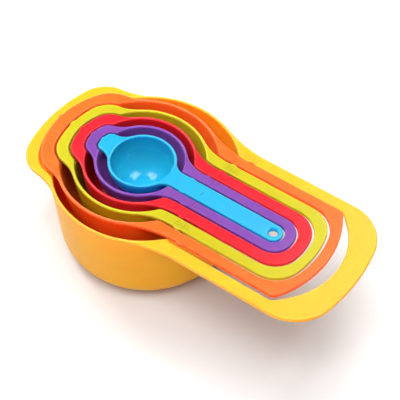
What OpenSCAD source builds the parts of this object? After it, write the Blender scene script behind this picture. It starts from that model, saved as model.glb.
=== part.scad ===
// Nest of six measuring cups. Each cup is one moulding: a round bowl, a pouring spout and a flat
// handle. Every cup but the smallest is open in the outline of the next smaller one, which drops
// into it from above, so the six rims lie almost flush. Lists run from the smallest cup (blue)
// to the largest (yellow). The origin is the centre of the yellow cup's base, +X runs along the
// handles, +Z is up, and every cup is symmetric across Y.

/* [Bowls] */
// Outside radius of each bowl at its rim
bowl_r = [17, 22.95, 28.3, 33.8, 40.5, 47.4];
// Centre of each bowl along X
bowl_x = [-2.2, -3, -3.9, -3.4, -4.2, 0];
// Outside height of each bowl, from base to rim
bowl_depth = [16.5, 18.6, 33.4, 35.6, 37.8, 52];
// Slope of each bowl's side wall away from upright, in degrees
bowl_draft = [0, 9, 3, 7, 10, 4];
// Outside radius of the turn from side wall to base
bowl_turn = [15.5, 16, 9.5, 12, 17, 15];
// Thickness of the bowl walls
wall = 1.5; // [1.3:0.1:1.6]

/* [Handles] */
// Half of each handle's width
grip_half = [4.85, 10.5, 17, 23.6, 30, 37.5];
// Far end of each handle along X
grip_end = [78.8, 84.8, 91.3, 97.1, 103.3, 119.5];
// Radius of the arc across each handle's end
grip_arc = [7, 14, 32, 50, 52.5, 100];
// Radius of the two corners of each handle's end
grip_corner = [4.3, 9.5, 13.5, 15, 4, 22];
// Radius of the inward curve where each handle meets its bowl
neck = [8, 18.5, 30, 30, 60, 70];
// Thickness of the handles and of the flat rim round the spouts
plate = 2.2; // [2:0.1:2.4]

/* [Spouts] */
// Tip of each spout along X
tip = [-27, -33.3, -39.8, -45.9, -53.8, -59.2];
// Radius of the arc across each spout's tip
tip_arc = [13, 16.5, 28, 46, 44, 78];
// Radius of the two corners of each spout
tip_corner = [3.4, 5.9, 10.4, 13.2, 15.6, 17];
// Distance of the corner arcs' centres from the middle plane
tip_half = [2.5, 4.3, 7, 9.6, 14.9, 17.5];
// Radius of the inward curve where each spout meets its bowl
throat = [9, 15.7, 18, 21, 27.5, 32];
// Fall of the pouring channels towards the bowl, in degrees
channel_fall = 15; // [14:0.5:17]
// Thickness of a pouring channel's floor and sides
channel_wall = 1.2; // [1:0.1:1.3]

/* [Nesting] */
// Gap round the two smallest cups where they lie in the next one
gap_small = 0.6; // [0.5:0.05:0.7]
// Gap round the other cups where they lie in the next one
gap_large = 0.9; // [0.8:0.05:1]
// How far each cup's rim stands above the next one's
step = 0.15; // [0.1:0.05:0.25]
// How far the orange cup's rim stands above the yellow one's
step_last = 2; // [1.6:0.1:2]
// Free height under a cup at its seats
seat_gap = 0.1; // [0.05:0.05:0.15]
// Place along X of the snap bumps on the handles' sides
bump_x = [24.8, 29.8, 33.8, 35.8, 42];
// Radius of a snap bump
bump_r = 2.6; // [2:0.1:3]
// Gap left beside a snap bump
bump_gap = 0.12; // [0.1:0.02:0.2]

/* [Yellow grip] */
// Radius of the far side of the finger gap
finger_arc = 37.9; // [37:0.1:38.5]
// Far end of the finger gap along X
finger_end = 108.8; // [108:0.1:109.5]

/* [Hanging hole] */
// Centre of the hole along X
hole_x = 74.3; // [73.8:0.1:74.5]
// Radius of the hole
hole_r = 2.15; // [1.9:0.05:2.2]
// Size of the chamfer at the hole's upper edge
hole_chamfer = 0.6; // [0.3:0.1:0.8]

/* [Size marks] */
// First mark along X
mark_x = 33; // [32:0.5:36]
// Distance from one mark to the next
mark_pitch = 2.2; // [2:0.1:2.4]
// Length of a mark across the handle
mark_long = 2.6; // [2:0.1:3]
// Width of a mark along the handle
mark_wide = 0.9; // [0.7:0.1:1.1]
// Height of a mark above the handle's face
mark_high = 0.25; // [0.15:0.05:0.3]

/* [Hidden] */
$fn = 128;
blue = 0;
purple = 1;
red = 2;
lemon = 3;
orange = 4;
yellow = 5;
over = 5; // how far a cut runs past the solid it cuts
reach = 1.3; // how far a sector's sides run past its arc
blend = 0.03; // how far two arcs overlap where one runs into the other

// Gap between cup k and the opening that it lies in
function gap(k) = k < red ? gap_small : gap_large;
// Height of cup k's rim above the origin
function rim_z(k) = bowl_depth[yellow] + (k == yellow ? 0 : step_last + (orange - k) * step);
// Depth below cup k's rim of the seats that carry the next smaller cup
function seat(k) = plate + seat_gap - rim_z(k - 1) + rim_z(k);
function flip(p) = [p[0], -p[1]];
// Upper one of the two points where a circle about a meets a circle about b
function meet(a, ra, b, rb) =
    let (d = norm(b - a), u = (b - a) / d, s = (ra * ra - rb * rb + d * d) / (2 * d))
    a + s * u + sqrt(ra * ra - s * s) * [abs(u[1]), abs(u[0])];
// Centre of the upper corner arc, radius r, inside an arc about [x, 0] of radius arc
function corner_at(x, arc, r, half, way) = [x + way * sqrt(pow(arc - r, 2) - half * half), half];

module disc(p, r) {
    translate(p) circle(r);
}

// End of an arm, pointing to +X (way 1) or -X (way -1), grown by g: an arc about [x, 0] and two
// corner arcs of radius r about points half away from the middle
module arm_end(x, arc, r, half, way, g) {
    c = corner_at(x, arc, r, half, way);
    far = reach * (arc + g) / (arc - r);
    disc(c, r + g + blend);
    disc(flip(c), r + g + blend);
    intersection() {
        disc([x, 0], arc + g);
        polygon([[x, 0], [x, 0] + far * (c - [x, 0]), [x, 0] + far * (flip(c) - [x, 0])]);
    }
}

// Web that fills the corner between two circles up to an inward arc of radius rf about f
module web(a, ra, b, rb, f, rf) {
    difference() {
        polygon([a, a + (f - a) * ra / (ra + rf), f, b + (f - b) * rb / (rb + rf), b]);
        disc(f, rf + blend);
    }
}

module spout_outline(k, g) {
    a = [bowl_x[k], 0];
    x = tip[k] + tip_arc[k];
    c = corner_at(x, tip_arc[k], tip_corner[k], tip_half[k], -1);
    f = meet(a, bowl_r[k] + throat[k], c, tip_corner[k] + throat[k]);
    arm_end(x, tip_arc[k], tip_corner[k], tip_half[k], -1, g);
    polygon([a, c, flip(c)]);
    for (side = [0, 1])
        mirror([0, side]) web(a, bowl_r[k] + g, c, tip_corner[k] + g, f, throat[k] - g);
}

module handle_outline(k, g) {
    a = [bowl_x[k], 0];
    x = grip_end[k] - grip_arc[k];
    half = grip_half[k] - grip_corner[k];
    c = corner_at(x, grip_arc[k], grip_corner[k], half, 1);
    rise = grip_half[k] + neck[k];
    f = a + [sqrt(pow(bowl_r[k] + neck[k], 2) - rise * rise), rise];
    arm_end(x, grip_arc[k], grip_corner[k], half, 1, g);
    translate([a[0], -grip_half[k] - g]) square([c[0] - a[0], 2 * (grip_half[k] + g)]);
    for (side = [0, 1])
        mirror([0, side]) web(a, bowl_r[k] + g, [f[0], 0], grip_half[k] + g, f, neck[k] - g);
}

// Plan of cup k seen from above, grown outwards by g
module outline(k, g) {
    disc([bowl_x[k], 0], bowl_r[k] + g);
    spout_outline(k, g);
    handle_outline(k, g);
}

// Half section of a bowl below its rim, reduced by t on the side wall and the base
module bowl_section(k, t) {
    draft = bowl_draft[k];
    r = bowl_r[k] - t / cos(draft);
    turn = bowl_turn[k] - t;
    depth = bowl_depth[k] - t;
    z = turn - depth;
    c = [r + (z * sin(draft) - turn) / cos(draft), z];
    intersection() {
        translate([0, -depth]) square([r, depth]);
        union() {
            polygon([[0, 0], [r, 0], c + turn * [cos(draft), -sin(draft)], c, [c[0], -depth], [0, -depth]]);
            disc(c, turn);
        }
    }
}

module bowl_solid(k, t) {
    translate([bowl_x[k], 0, 0]) rotate_extrude() bowl_section(k, t);
}

module bowl_cavity(k) {
    bowl_solid(k, wall);
    translate([bowl_x[k], 0, -wall]) cylinder(h = wall + over, r = bowl_r[k] - wall / cos(bowl_draft[k]));
}

// Flat frame of cup k, open where the next smaller cup lies
module frame_plate(k) {
    translate([0, 0, -plate]) linear_extrude(plate) difference() {
        outline(k, 0);
        if (k > blue) outline(k - 1, gap(k - 1));
        if (k == yellow) finger_gap();
    }
    if (k < yellow) translate([0, 0, -plate]) linear_extrude(plate) bumps(k);
}

// Space for the fingers between the orange cup's end and the yellow cup's end bar
module finger_gap() {
    half = grip_half[orange] + gap(orange);
    intersection() {
        disc([finger_end - finger_arc, 0], finger_arc);
        translate([grip_end[orange] - 2 * grip_corner[orange] - over, -half]) square([finger_arc, 2 * half]);
    }
}

// Part of cup k's spout above a plane that falls towards the bowl: the plan of the next smaller cup
// grown by g, from low below the seat up to top
module channel(k, g, low, top) {
    x0 = tip[k - 1] - gap(k - 1);
    x1 = bowl_x[k] - bowl_r[k] / 2;
    z0 = -seat(k) - low;
    fall = tan(channel_fall);
    section = [[x0 - over, z0 + over * fall], [x1, z0 - (x1 - x0) * fall], [x1, top], [x0 - over, top]];
    intersection() {
        translate([0, 0, -bowl_r[k]]) linear_extrude(bowl_r[k] + over) outline(k - 1, g);
        rotate([90, 0, 0]) linear_extrude(4 * bowl_r[k], center = true) polygon(section);
    }
}

// Snap bumps at the spout's tip and on both sides of the handle
module bumps(k) {
    inset = bump_r + bump_gap - gap(k);
    disc([tip[k] + inset, 0], bump_r);
    for (side = [-1, 1])
        disc([bump_x[k], side * (grip_half[k] - inset)], bump_r);
}

// Raised bars that tell the cups apart: one on the smallest cup, six on the largest
module size_marks(k) {
    y = k == blue ? 0 : (grip_half[k] + grip_half[k - 1] + gap(k - 1)) / 2;
    for (side = k == blue ? [1] : [-1, 1])
        for (i = [0 : k])
            translate([mark_x + i * mark_pitch, side * y - mark_long / 2, -plate / 2])
                cube([mark_wide, mark_long, plate / 2 + mark_high]);
}

module hanging_hole() {
    translate([hole_x, 0, -plate - over]) cylinder(h = plate + 2 * over, r = hole_r);
    translate([hole_x, 0, -hole_chamfer]) cylinder(h = over, r1 = hole_r, r2 = hole_r + over);
}

module cup(k) {
    nests = k > blue;
    translate([0, 0, rim_z(k)]) difference() {
        union() {
            frame_plate(k);
            size_marks(k);
            bowl_solid(k, 0);
            if (nests) channel(k, gap(k - 1) + channel_wall, channel_wall, -plate / 2);
        }
        bowl_cavity(k);
        if (nests) {
            channel(k, gap(k - 1), 0, over);
            translate([0, 0, -seat(k)]) linear_extrude(seat(k) + over) outline(k - 1, gap(k - 1));
        }
    }
}

module yellow_cup() {
    color([1, 0.86, 0.2]) cup(yellow);
}

module orange_cup() {
    color([1, 0.45, 0.15]) cup(orange);
}

module lemon_cup() {
    color([0.9, 0.9, 0.12]) cup(lemon);
}

module red_cup() {
    color([0.93, 0.11, 0.2]) cup(red);
}

module purple_cup() {
    color([0.55, 0.28, 0.75]) cup(purple);
}

module blue_cup() {
    color([0.2, 0.78, 0.97]) difference() {
        cup(blue);
        translate([0, 0, rim_z(blue)]) hanging_hole();
    }
}

yellow_cup();
orange_cup();
lemon_cup();
red_cup();
purple_cup();
blue_cup();
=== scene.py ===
"""Looks of the nest of six measuring cups. Each cup is one moulding: its surface is a distance
field built from the same arcs as the CAD, with soft edges and fillets, turned into one mesh that
stands for the cup's CAD node. Lengths are in millimetres until a mesh is made."""
import math

import bpy
import numpy as np
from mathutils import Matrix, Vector


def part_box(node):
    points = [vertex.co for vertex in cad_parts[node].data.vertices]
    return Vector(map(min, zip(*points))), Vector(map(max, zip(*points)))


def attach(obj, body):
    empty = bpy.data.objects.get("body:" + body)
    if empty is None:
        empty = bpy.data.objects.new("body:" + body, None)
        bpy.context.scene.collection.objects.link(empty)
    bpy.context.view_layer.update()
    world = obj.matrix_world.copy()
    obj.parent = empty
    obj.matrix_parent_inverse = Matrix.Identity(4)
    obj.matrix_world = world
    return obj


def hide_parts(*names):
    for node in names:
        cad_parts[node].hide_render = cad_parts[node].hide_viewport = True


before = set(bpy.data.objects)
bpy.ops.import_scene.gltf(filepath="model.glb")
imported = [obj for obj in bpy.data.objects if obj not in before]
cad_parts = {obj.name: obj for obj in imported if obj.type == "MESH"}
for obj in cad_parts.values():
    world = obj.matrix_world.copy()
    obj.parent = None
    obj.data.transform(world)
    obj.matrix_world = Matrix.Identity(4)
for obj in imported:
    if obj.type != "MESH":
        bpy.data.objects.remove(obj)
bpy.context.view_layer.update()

MM = 0.001
CUPS = ["blue", "purple", "red", "lemon", "orange", "yellow"]
BLUE, PURPLE, RED, LEMON, ORANGE, YELLOW = range(6)

# ---- sizes shared with the CAD, blue to yellow -------------------------------------------------
BOWL_R = [17, 22.95, 28.3, 33.8, 40.5, 47.4]
BOWL_X = [-2.2, -3, -3.9, -3.4, -4.2, 0]
BOWL_DEPTH = [16.5, 18.6, 33.4, 35.6, 37.8, 52]
BOWL_DRAFT = [0, 9, 3, 7, 10, 4]
BOWL_TURN = [15.5, 16, 9.5, 12, 17, 15]
WALL = 1.5
GRIP_HALF = [4.85, 10.5, 17, 23.6, 30, 37.5]
GRIP_END = [78.8, 84.8, 91.3, 97.1, 103.3, 119.5]
GRIP_ARC = [7, 14, 32, 50, 52.5, 100]
GRIP_CORNER = [4.3, 9.5, 13.5, 15, 4, 22]
NECK = [8, 18.5, 30, 30, 60, 70]
PLATE = 2.2
TIP = [-27, -33.3, -39.8, -45.9, -53.8, -59.2]
TIP_ARC = [13, 16.5, 28, 46, 44, 78]
TIP_CORNER = [3.4, 5.9, 10.4, 13.2, 15.6, 17]
TIP_HALF = [2.5, 4.3, 7, 9.6, 14.9, 17.5]
THROAT = [9, 15.7, 18, 21, 27.5, 32]
CHANNEL_FALL = math.radians(15)
CHANNEL_WALL = 1.2
GAP = [0.6, 0.6, 0.9, 0.9, 0.9]
SEAT_GAP = 0.1
BUMP_X = [24.8, 29.8, 33.8, 35.8, 42]
BUMP_R = 2.6
BUMP_GAP = 0.12
FINGER_ARC = 37.9
FINGER_END = 108.8
FINGER_OVERLAP = 13   # how far the finger gap reaches back over the orange cup's opening
HOLE_X = 74.3
HOLE_R = 2.15
HOLE_CHAMFER = 0.6
MARK_X = 33
MARK_PITCH = 2.2
MARK_LONG = 2.6
MARK_WIDE = 0.9
MARK_HIGH = 0.25

# ---- softness that only the visual model has ---------------------------------------------------
RIM_SOFT = 0.7        # rounding of the upper edges
EDGE_SOFT = 0.5       # rounding of the lower and inner edges
BUMP_SOFT = 0.25      # where a snap bump meets the outline
HOLE_SOFT = 0.3       # rounding of the hanging hole's edges
CHAMFER_SOFT = 0.2    # where the hanging hole meets its chamfer
FILLET = 2.2          # between a bowl's wall and its flat rim
FILLET_FADE = (0.4, 3)  # distances inside the outline where the fillet starts and is whole
SHARP = 0.001         # a blend width that leaves an edge sharp

# ---- meshing -----------------------------------------------------------------------------------
# Grid cell of each cup's mesh. These sizes give closed meshes for the dimensions above, and others
# may not, so a changed dimension means testing the meshes again.
CELL = [0.42, 0.46, 0.505, 0.54, 0.615, 0.76]
MARGIN = 1.5          # cells of empty space around a cup
GRADIENT_STEP = 0.02
LOWEST_SLOPE = 0.2    # keeps a step finite where the field is nearly flat
LONGEST_STEP = 0.5
RELAX_ROUNDS = 3
RELAX_SHARE = 0.6     # of the way to the neighbours' middle, each round

RIM_Z = [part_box(name + "_cup")[1].z / MM - MARK_HIGH for name in CUPS]


def seat(k):
    return PLATE + SEAT_GAP - RIM_Z[k - 1] + RIM_Z[k]


# ---- small distance-field helpers --------------------------------------------------------------
def smooth_max(a, b, k):
    h = np.maximum(k - np.abs(a - b), 0) / k
    return np.maximum(a, b) + h * h * k / 4


def smooth_min(a, b, k):
    return -smooth_max(-a, -b, k)


def ramp(x, low, high):
    t = np.clip((x - low) / (high - low), 0, 1)
    return t * t * (3 - 2 * t)


def meet(a, ra, b, rb):
    """Upper one of the two points where a circle about a meets a circle about b."""
    a, b = np.array(a, float), np.array(b, float)
    d = np.linalg.norm(b - a)
    u = (b - a) / d
    s = (ra * ra - rb * rb + d * d) / (2 * d)
    return a + s * u + math.sqrt(ra * ra - s * s) * np.array([abs(u[1]), abs(u[0])])


def outline_arcs(k):
    """The upper half of cup k's plan from tip to end: (centre, radius, side, start, end) where
    side is 1 for an outward arc and -1 for an inward one, and start and end are directions."""
    bowl = np.array([BOWL_X[k], 0.0])
    tip_c = np.array([TIP[k] + TIP_ARC[k], 0.0])
    half = TIP_HALF[k]
    tc = tip_c + [-math.sqrt((TIP_ARC[k] - TIP_CORNER[k]) ** 2 - half * half), half]
    tf = meet(bowl, BOWL_R[k] + THROAT[k], tc, TIP_CORNER[k] + THROAT[k])
    rise = GRIP_HALF[k] + NECK[k]
    nf = bowl + [math.sqrt((BOWL_R[k] + NECK[k]) ** 2 - rise * rise), rise]
    end_c = np.array([GRIP_END[k] - GRIP_ARC[k], 0.0])
    half = GRIP_HALF[k] - GRIP_CORNER[k]
    ec = end_c + [math.sqrt((GRIP_ARC[k] - GRIP_CORNER[k]) ** 2 - half * half), half]
    arcs = [
        (tip_c, TIP_ARC[k], 1, (-1, 0), tc - tip_c),
        (tc, TIP_CORNER[k], 1, tc - tip_c, tf - tc),
        (tf, THROAT[k], -1, tc - tf, bowl - tf),
        (bowl, BOWL_R[k], 1, tf - bowl, nf - bowl),
        (nf, NECK[k], -1, bowl - nf, (0, -1)),
        (ec, GRIP_CORNER[k], 1, (0, 1), ec - end_c),
        (end_c, GRIP_ARC[k], 1, ec - end_c, (1, 0)),
    ]
    return arcs, nf[0], ec[0]


ARCS = [outline_arcs(k) for k in range(6)]


def plan(k, x, y):
    """Signed distance from (x, y) to cup k's plan, negative inside."""
    y = np.abs(y)
    arcs, line_start, line_end = ARCS[k]
    far = np.float32(1e3)
    best = np.where((x >= line_start) & (x <= line_end), y - GRIP_HALF[k], far)
    for centre, radius, side, start, end in arcs:
        vx, vy = x - centre[0], y - centre[1]
        d = side * (np.sqrt(vx * vx + vy * vy) - radius)
        inside = (start[0] * vy - start[1] * vx) * side <= 1e-5
        inside &= (vx * end[1] - vy * end[0]) * side <= 1e-5
        best = np.where(inside & (np.abs(d) < np.abs(best)), d, best)
    return best


def bowl(k, x, y, z):
    """Signed distance to cup k's bowl as a solid body, open upwards, z from its rim."""
    tilt = math.radians(BOWL_DRAFT[k])
    c, s = math.cos(tilt), math.sin(tilt)
    r = np.sqrt((x - BOWL_X[k]) ** 2 + y * y)
    turn, depth = BOWL_TURN[k], BOWL_DEPTH[k]
    cz = turn - depth
    cr = BOWL_R[k] + (cz * s - turn) / c
    flat = np.maximum((r - BOWL_R[k]) * c - z * s, -depth - z)
    vr, vz = r - cr, z - cz
    corner = (vr >= 0) & (-vz - vr * s / c >= 0)
    return np.where(corner, np.sqrt(vr * vr + vz * vz) - turn, flat)


def cup(k, x, y, z):
    """Signed distance to cup k, z from its rim."""
    own = plan(k, x, y)
    if k < YELLOW:
        inset = BUMP_R + BUMP_GAP - GAP[k]
        for bx, by in [(TIP[k] + inset, 0), (BUMP_X[k], GRIP_HALF[k] - inset)]:
            own = smooth_min(own, np.sqrt((x - bx) ** 2 + (np.abs(y) - by) ** 2) - BUMP_R,
                             BUMP_SOFT)
    body = bowl(k, x, y, z)
    flat = smooth_max(own, -z - PLATE, EDGE_SOFT)
    if k > BLUE:
        inner = plan(k - 1, x, y) - GAP[k - 1]
        opening = inner
        if k == YELLOW:
            finger = np.sqrt((x - FINGER_END + FINGER_ARC) ** 2 + y * y) - FINGER_ARC
            finger = np.maximum(finger, np.abs(y) - GRIP_HALF[ORANGE] - GAP[ORANGE])
            opening = np.minimum(inner, np.maximum(finger, GRIP_END[ORANGE] - FINGER_OVERLAP - x))
        flat = smooth_max(flat, -opening, EDGE_SOFT)
    deep = ramp(-own, *FILLET_FADE)  # no fillet where the wall runs straight up into the rim
    solid = smooth_min(flat, body, SHARP + FILLET * deep)
    cut = body + WALL
    if k > BLUE:
        x0 = TIP[k - 1] - GAP[k - 1]
        slope = (-seat(k) - (x - x0) * math.tan(CHANNEL_FALL) - z) * math.cos(CHANNEL_FALL)
        before = x - (BOWL_X[k] - BOWL_R[k] / 2)
        block = smooth_max(inner - CHANNEL_WALL, slope - CHANNEL_WALL, 2 * EDGE_SOFT)
        solid = smooth_min(solid, np.maximum(block, before), SHARP + EDGE_SOFT * deep)
        cut = smooth_min(cut, np.maximum(smooth_max(inner, slope, EDGE_SOFT), before), EDGE_SOFT)
        cut = smooth_min(cut, smooth_max(inner, -z - seat(k), EDGE_SOFT), EDGE_SOFT)
    solid = smooth_max(solid, -cut, EDGE_SOFT)
    if k == BLUE:
        hole = np.sqrt((x - HOLE_X) ** 2 + y * y) - HOLE_R
        cone = (hole - z - HOLE_CHAMFER) * math.sqrt(0.5)
        solid = smooth_max(solid, -smooth_min(hole, cone, CHAMFER_SOFT), HOLE_SOFT)
    return smooth_max(solid, z, RIM_SOFT)


# ---- from field to mesh ------------------------------------------------------------------------
CORNERS = [(i, j, m) for i in (0, 1) for j in (0, 1) for m in (0, 1)]


def surface_net(values, low, cell):
    """Quads around the zero surface of a grid of values: (points, faces)."""
    shape = tuple(n - 1 for n in values.shape)
    inside = values < 0
    count = np.zeros(shape, np.uint8)
    for c in CORNERS:
        count += inside[tuple(slice(a, a + n) for a, n in zip(c, shape))]
    active = (count > 0) & (count < 8)
    number = np.full(shape, -1, np.int32)
    number[active] = np.arange(int(active.sum()), dtype=np.int32)
    at = np.argwhere(active)
    total, hits = np.zeros((len(at), 3)), np.zeros(len(at))
    for c in CORNERS:
        for axis in range(3):
            if c[axis]:
                continue
            far = tuple(c[a] + (a == axis) for a in range(3))
            va = values[tuple((at + c).T)].astype(float)
            vb = values[tuple((at + far).T)].astype(float)
            crosses = (va < 0) != (vb < 0)
            t = va[crosses] / (va[crosses] - vb[crosses])
            total[crosses] += c
            total[crosses, axis] += t
            hits[crosses] += 1
    points = np.array(low) + cell * (at + total / hits[:, None])
    faces = []
    for axis in range(3):
        step = tuple(int(a == axis) for a in range(3))
        first = inside[tuple(slice(0, n - s) for n, s in zip(values.shape, step))]
        second = inside[tuple(slice(s, n) for n, s in zip(values.shape, step))]
        u, v = [a for a in range(3) if a != axis]
        for way, edges in ((1, first & ~second), (-1, ~first & second)):
            e = np.argwhere(edges)
            ring = []
            for du, dv in ((1, 1), (0, 1), (0, 0), (1, 0)):
                q = e.copy()
                q[:, u] -= du
                q[:, v] -= dv
                ring.append(number[tuple(q.T)])
            order = 1 if (way == 1) != (axis == 1) else -1
            faces.append(np.array(ring[::order]).T)
    return points, np.concatenate(faces)


def gradient(k, p):
    """Field and its gradient at points p."""
    x, y, z = p.T
    value = cup(k, x, y, z)
    g = np.empty_like(p)
    for axis in range(3):
        shift = np.zeros(3)
        shift[axis] = GRADIENT_STEP
        high, low = p + shift, p - shift
        g[:, axis] = (cup(k, *high.T) - cup(k, *low.T)) / (2 * GRADIENT_STEP)
    return value, g


def unit(g):
    return g / np.maximum(np.linalg.norm(g, axis=1), 1e-6)[:, None]


def settle(k, p):
    """Points p moved onto cup k's surface."""
    value, g = gradient(k, p)
    step = value / np.maximum((g * g).sum(1), LOWEST_SLOPE)
    return p - g * np.clip(step, -LONGEST_STEP, LONGEST_STEP)[:, None]


def neighbour_mean(p, faces):
    """Mean of each point's neighbours along the faces' edges."""
    a = faces.ravel()
    b = np.roll(faces, -1, axis=1).ravel()
    ends, starts = np.concatenate([a, b]), np.concatenate([b, a])
    number = np.bincount(ends, minlength=len(p))
    mean = [np.bincount(ends, p[starts, i], len(p)) / number for i in range(3)]
    return np.array(mean).T


def cup_mesh(k):
    """Points, quads and normals of cup k, z from its rim."""
    cell = CELL[k]
    low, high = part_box(CUPS[k] + "_cup")
    lift = Vector((0, 0, RIM_Z[k]))
    low, high = low / MM - lift, high / MM - lift
    axes = [np.arange(a - MARGIN * cell, b + (MARGIN + 1) * cell, cell) for a, b in zip(low, high)]
    axes[1] = (np.arange(2 * math.ceil(high.y / cell + MARGIN)) + 0.5) * cell
    axes[1] -= axes[1].mean()
    x, y, z = [a.astype(np.float32) for a in axes]
    values = cup(k, x[:, None, None], y[None, :, None], z[None, None, :])
    points, faces = surface_net(values, [a[0] for a in axes], cell)
    points = settle(k, points)
    for _ in range(RELAX_ROUNDS):
        normal = unit(gradient(k, points)[1])
        move = (neighbour_mean(points, faces) - points) * RELAX_SHARE
        move -= normal * (move * normal).sum(1)[:, None]
        points = settle(k, points + move)
    points = settle(k, points)
    return points, faces, unit(gradient(k, points)[1])


def build_mesh(name, points, faces, normals):
    mesh = bpy.data.meshes.new(name)
    mesh.vertices.add(len(points))
    mesh.vertices.foreach_set("co", points.astype(np.float32).ravel())
    mesh.loops.add(faces.size)
    mesh.loops.foreach_set("vertex_index", faces.astype(np.int32).ravel())
    mesh.polygons.add(len(faces))
    starts = np.arange(0, faces.size, faces.shape[1], dtype=np.int32)
    mesh.polygons.foreach_set("loop_start", starts)
    mesh.update(calc_edges=True)
    mesh.validate()
    mesh.polygons.foreach_set("use_smooth", np.ones(len(mesh.polygons), bool))
    mesh.normals_split_custom_set_from_vertices(normals.astype(np.float32))
    return mesh


def link(name, mesh, k, material):
    piece = bpy.data.objects.new(name, mesh)
    bpy.context.scene.collection.objects.link(piece)
    mesh.materials.append(material)
    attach(piece, CUPS[k])
    return piece


# ---- raised size marks -------------------------------------------------------------------------
MARK_TURNS = 24       # points around a mark
MARK_LEANS = [math.radians(a) for a in (0, 18, 36, 54, 72, 84)]
MARK_CROWN = 0.45     # share of a mark's width that its top keeps
MARK_ROOT = 0.3       # how far a mark reaches down into the plate


def marks_mesh(k):
    """Domed bars on cup k's handle: one on the smallest cup, six on the largest."""
    middle = 0 if k == BLUE else (GRIP_HALF[k] + GRIP_HALF[k - 1] + GAP[k - 1]) / 2
    straight = (MARK_LONG - MARK_WIDE) / 2
    rings = [(1, -MARK_ROOT)]
    for a in MARK_LEANS:
        rings.append((MARK_CROWN + (1 - MARK_CROWN) * math.cos(a), MARK_HIGH * math.sin(a)))
    points, faces = [], []
    for side in [1] if k == BLUE else [-1, 1]:
        for i in range(k + 1):
            cx = MARK_X + i * MARK_PITCH + MARK_WIDE / 2
            base = len(points)
            for share, height in rings:
                for t in range(MARK_TURNS):
                    a = 2 * math.pi * (t + 0.5) / MARK_TURNS
                    r = MARK_WIDE / 2 * share
                    y = side * middle + r * math.sin(a) + math.copysign(straight, math.sin(a))
                    points.append((cx + r * math.cos(a), y, height + RIM_Z[k]))
            for ring in range(len(rings) - 1):
                for t in range(MARK_TURNS):
                    first = base + ring * MARK_TURNS
                    a, b = first + t, first + (t + 1) % MARK_TURNS
                    faces.append((a, b, b + MARK_TURNS, a + MARK_TURNS))
            faces.append(tuple(range(len(points) - MARK_TURNS, len(points))))
            faces.append(tuple(range(base + MARK_TURNS - 1, base - 1, -1)))
    mesh = bpy.data.meshes.new(CUPS[k] + "_size_marks")
    mesh.from_pydata([tuple(MM * c for c in p) for p in points], [], faces)
    mesh.shade_smooth()
    return mesh


# ---- moulded plastic ---------------------------------------------------------------------------
# Colour of each cup's plastic: red, green, blue, linear
PLASTIC = [
    (0.010, 0.305, 0.490),
    (0.160, 0.052, 0.272),
    (0.560, 0.013, 0.024),
    (0.410, 0.370, 0.011),
    (0.880, 0.125, 0.016),
    (0.960, 0.372, 0.016),
]
WEAR_AND_SHEEN = 0.15           # how much paler the edges get: partly wear, partly a painted highlight
DARKER = 0.86         # the darkest clouds' share of the colour
PALER = 0.30          # the paler edges' share of white, partly wear and partly painted highlight
GRAIN_FACE = (1.2, 0.6)  # depths below the rim, in mm, where the grained face starts and is whole
CLOUDS, STREAKS, WAVES, SCRATCHES, GRAIN = 45, 100, 70, 420, 1900  # noise scales, per metre
STREAK_STRETCH = (0.12, 1, 1)
SCRATCH_STRETCH = (0.08, 1.6, 1)
POLISHED, STEEP = 0.13, 0.34  # roughness of faces that look up and of steep walls
CLOUD_ROUGH, GRAIN_ROUGH, SCRATCH_ROUGH = 0.04, 0.1, 0.08  # what each adds to the roughness
GRAIN_HEIGHT = 0.035  # grain's height as a share of the waves'
RELIEF = 0.0004       # metres of bump at full height
RELIEF_STRENGTH = 0.35
PLASTIC_IOR = 1.49
SPECULAR = {BLUE: 0.26}
SPECULAR_OTHERS = 0.1
GLOW_DEPTH = 0.004    # metres that light spreads in the milky plastic
GLOW_LEAST = 0.12     # share of it for a colour channel that the plastic swallows


def node(tree, kind, **inputs):
    n = tree.nodes.new(kind)
    for name, value in inputs.items():
        socket = n.inputs[name.replace("_", " ")]
        if isinstance(value, bpy.types.NodeSocket):
            tree.links.new(value, socket)
        else:
            socket.default_value = value
    return n


def math_node(tree, operation, a, b):
    n = tree.nodes.new("ShaderNodeMath")
    n.operation = operation
    for socket, value in zip(n.inputs, (a, b)):
        if isinstance(value, bpy.types.NodeSocket):
            tree.links.new(value, socket)
        else:
            socket.default_value = value
    return n.outputs[0]


def remap(tree, value, a, b, to_a, to_b):
    """A smooth change from to_a to to_b while value goes from a to b."""
    n = node(tree, "ShaderNodeMapRange", Value=value)
    n.interpolation_type = "SMOOTHSTEP"
    for i, number in enumerate((a, b, to_a, to_b)):
        n.inputs[i + 1].default_value = number
    return n.outputs[0]


def mix(tree, factor, a, b):
    """Colour a where factor is 0, colour b where it is 1."""
    n = tree.nodes.new("ShaderNodeMix")
    n.data_type = "RGBA"
    for i, value in ((0, factor), (6, a), (7, b)):  # the colour sockets of this node
        if isinstance(value, bpy.types.NodeSocket):
            tree.links.new(value, n.inputs[i])
        else:
            n.inputs[i].default_value = value
    return n.outputs[2]


def noise(tree, where, scale, detail, stretch=None):
    if stretch:
        where = node(tree, "ShaderNodeMapping", Vector=where, Scale=stretch).outputs[0]
    return node(tree, "ShaderNodeTexNoise", Vector=where, Scale=scale, Detail=detail).outputs[0]


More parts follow.
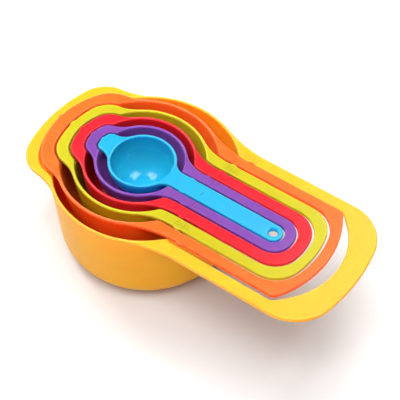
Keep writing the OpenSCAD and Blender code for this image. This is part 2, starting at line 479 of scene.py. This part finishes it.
def plastic(k, name, wear_and_sheen, milky):
    """Satin moulded plastic: slight clouding, flow streaks from the bowl towards the handle's end,
    a fine mould grain on the flat faces, polished bowls and, by as much as wear_and_sheen, paler
    edges, partly wear and partly a painted highlight. Milky 1 lets light spread inside it, 0 keeps
    it on the surface."""
    colour = PLASTIC[k]
    material = bpy.data.materials.new(name)
    material.use_nodes = True
    tree = material.node_tree
    tree.nodes.clear()
    where = tree.nodes.new("ShaderNodeTexCoord").outputs["Object"]
    geometry = tree.nodes.new("ShaderNodeNewGeometry")
    up = node(tree, "ShaderNodeSeparateXYZ", Vector=geometry.outputs["Normal"]).outputs["Z"]
    height = node(tree, "ShaderNodeSeparateXYZ", Vector=where).outputs["Z"]
    low, high = [(RIM_Z[k] - depth) * MM for depth in GRAIN_FACE]
    on_top = remap(tree, height, low, high, 0, 1)
    face = math_node(tree, "MULTIPLY", on_top, remap(tree, up, 0.9, 0.99, 0, 1))
    clouds = noise(tree, where, CLOUDS, 2)
    streaks = noise(tree, where, STREAKS, 3, STREAK_STRETCH)
    grain = noise(tree, where, GRAIN, 3)
    waves = noise(tree, where, WAVES, 1)
    scratches = noise(tree, where, SCRATCHES, 6, SCRATCH_STRETCH)

    dark = (*[c * DARKER for c in colour], 1)
    pale = (*[c + (1 - c) * PALER for c in colour], 1)
    tone = math_node(tree, "ADD", math_node(tree, "MULTIPLY", clouds, 0.6),
                     math_node(tree, "MULTIPLY", streaks, 0.4))
    body = mix(tree, remap(tree, tone, 0.38, 0.62, 0.28, 0), (*colour, 1), dark)
    # paler convex edges: partly wear, partly a painted highlight along the rims and edges
    edge = remap(tree, geometry.outputs["Pointiness"], 0.512, 0.575, 0, wear_and_sheen)
    edge = math_node(tree, "MULTIPLY", edge, remap(tree, grain, 0.3, 0.6, 0.6, 1))
    body = mix(tree, edge, body, pale)

    rough = math_node(tree, "ADD", remap(tree, up, 0.3, 0.65, STEEP, POLISHED),
                      remap(tree, clouds, 0.35, 0.65, 0, CLOUD_ROUGH))
    rough = math_node(tree, "ADD", rough, math_node(tree, "MULTIPLY", face, GRAIN_ROUGH))
    rough = math_node(tree, "ADD", rough, remap(tree, scratches, 0.6, 0.8, 0, SCRATCH_ROUGH))
    pits = math_node(tree, "MULTIPLY", math_node(tree, "MULTIPLY", grain, face), GRAIN_HEIGHT)
    bump = node(tree, "ShaderNodeBump", Height=math_node(tree, "ADD", waves, pits),
                Strength=RELIEF_STRENGTH, Distance=RELIEF).outputs[0]
    shader = node(
        tree, "ShaderNodeBsdfPrincipled", Base_Color=body, Roughness=rough, Normal=bump,
        IOR=PLASTIC_IOR, Specular_IOR_Level=SPECULAR.get(k, SPECULAR_OTHERS),
        Subsurface_Weight=milky, Subsurface_Scale=GLOW_DEPTH,
        Subsurface_Radius=tuple(GLOW_LEAST + (c / max(colour)) ** 1.5 for c in colour),
    )
    output = tree.nodes.new("ShaderNodeOutputMaterial")
    tree.links.new(shader.outputs[0], output.inputs[0])
    return material


# ---- the six cups ------------------------------------------------------------------------------
for k, name in enumerate(CUPS):
    material = plastic(k, name + "_plastic", WEAR_AND_SHEEN, 1)
    points, faces, normals = cup_mesh(k)
    points[:, 2] += RIM_Z[k]
    mesh = build_mesh(name + "_moulding", points * MM, faces, normals)
    piece = link(name + "_moulding", mesh, k, material)
    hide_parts(name + "_cup")
    link(name + "_size_marks", marks_mesh(k), k, plastic(k, name + "_mark_plastic", 0, 0))


# ---- floor, light and camera: metres and degrees -----------------------------------------------
FLOOR_HALF = 12.0
FLOOR_DROP = 0.0002   # keeps the floor off the base it would otherwise touch
FLOOR_TONES = (0.60, 0.63)
HORIZON, ZENITH = 0.85, 0.2   # strength of the room's light
HORIZON_BAND = (0.02, 0.25)
LAMP_AIM = Vector((0.02, 0, 0.04))
LAMP_DISTANCE = 1.1
SOFTBOXES = [("window_back", 92, 58, 0.44), ("window_left", 168, 52, 0.40)]
SOFTBOX_HEIGHT = 0.56
SOFTBOX_WATTS = 7.5
FILLS = [("overhead", -54, 84, 0.8), ("front_fill", -75, 68, 2.6)]
FILL_SPREAD = 40
LENS, SENSOR = 114, 36        # millimetres
CAMERA_TURN, CAMERA_RISE = 35.6, 50.63
CAMERA_DISTANCE = 0.6
CAMERA_AIM = Vector((0.0354, -0.0042, RIM_Z[BLUE] * MM + 0.0002))


def floor_material():
    material = bpy.data.materials.new("floor_white")
    material.use_nodes = True
    tree = material.node_tree
    tree.nodes.clear()
    where = tree.nodes.new("ShaderNodeTexCoord").outputs["Object"]
    tone = remap(tree, noise(tree, where, 3, 2), 0.3, 0.7, 0, 1)
    dark, pale = [(grey, grey, grey, 1) for grey in FLOOR_TONES]
    colour = mix(tree, tone, dark, pale)
    shader = node(tree, "ShaderNodeBsdfPrincipled", Base_Color=colour, Roughness=0.9)
    output = tree.nodes.new("ShaderNodeOutputMaterial")
    tree.links.new(shader.outputs[0], output.inputs[0])
    return material


mesh = bpy.data.meshes.new("floor")
corners = [(x * FLOOR_HALF, y * FLOOR_HALF, 0) for x, y in ((-1, -1), (1, -1), (1, 1), (-1, 1))]
mesh.from_pydata(corners, [], [(0, 1, 2, 3)])
floor = bpy.data.objects.new("floor", mesh)
bpy.context.scene.collection.objects.link(floor)
floor.location.z = -FLOOR_DROP
mesh.materials.append(floor_material())

world = bpy.data.worlds.new("studio")
bpy.context.scene.world = world
world.use_nodes = True
tree = world.node_tree
tree.nodes.clear()
way = tree.nodes.new("ShaderNodeTexCoord").outputs["Generated"]
sky = node(tree, "ShaderNodeSeparateXYZ", Vector=way)
glow = remap(tree, sky.outputs["Z"], *HORIZON_BAND, HORIZON, ZENITH)
tree.links.new(node(tree, "ShaderNodeBackground", Strength=glow, Color=(1, 1, 1, 1)).outputs[0],
               tree.nodes.new("ShaderNodeOutputWorld").inputs[0])


def lamp(name, kind, azimuth, elevation):
    """A light that the nest sees at that azimuth from +X and that elevation."""
    a, e = math.radians(azimuth), math.radians(elevation)
    way = Vector((math.cos(a) * math.cos(e), math.sin(a) * math.cos(e), math.sin(e)))
    light = bpy.data.lights.new(name, kind)
    holder = bpy.data.objects.new(name, light)
    bpy.context.scene.collection.objects.link(holder)
    holder.location = LAMP_AIM + LAMP_DISTANCE * way
    holder.rotation_euler = way.to_track_quat("Z", "Y").to_euler()
    return light, holder


# the two softboxes show as the pair of highlights in the blue bowl
for name, azimuth, elevation, width in SOFTBOXES:
    light, _ = lamp(name, "AREA", azimuth, elevation)
    light.shape = "RECTANGLE"
    light.size, light.size_y = width, SOFTBOX_HEIGHT
    light.energy = SOFTBOX_WATTS

# broad fills light the whole floor evenly and leave no highlight
for name, azimuth, elevation, strength in FILLS:
    light, holder = lamp(name, "SUN", azimuth, elevation)
    light.angle = math.radians(FILL_SPREAD)
    light.energy = strength
    holder.visible_glossy = False

camera_data = bpy.data.cameras.new("camera")
camera_data.lens = LENS
camera_data.sensor_width = SENSOR
camera = bpy.data.objects.new("camera", camera_data)
bpy.context.scene.collection.objects.link(camera)
turn, rise = math.radians(CAMERA_TURN), math.radians(CAMERA_RISE)
back = Vector((math.sin(turn) * math.cos(rise), -math.cos(turn) * math.cos(rise), math.sin(rise)))
camera.location = CAMERA_AIM + CAMERA_DISTANCE * back
camera.rotation_euler = back.to_track_quat("Z", "Y").to_euler()
bpy.context.scene.camera = camera
bpy.context.scene.view_settings.view_transform = "Standard"
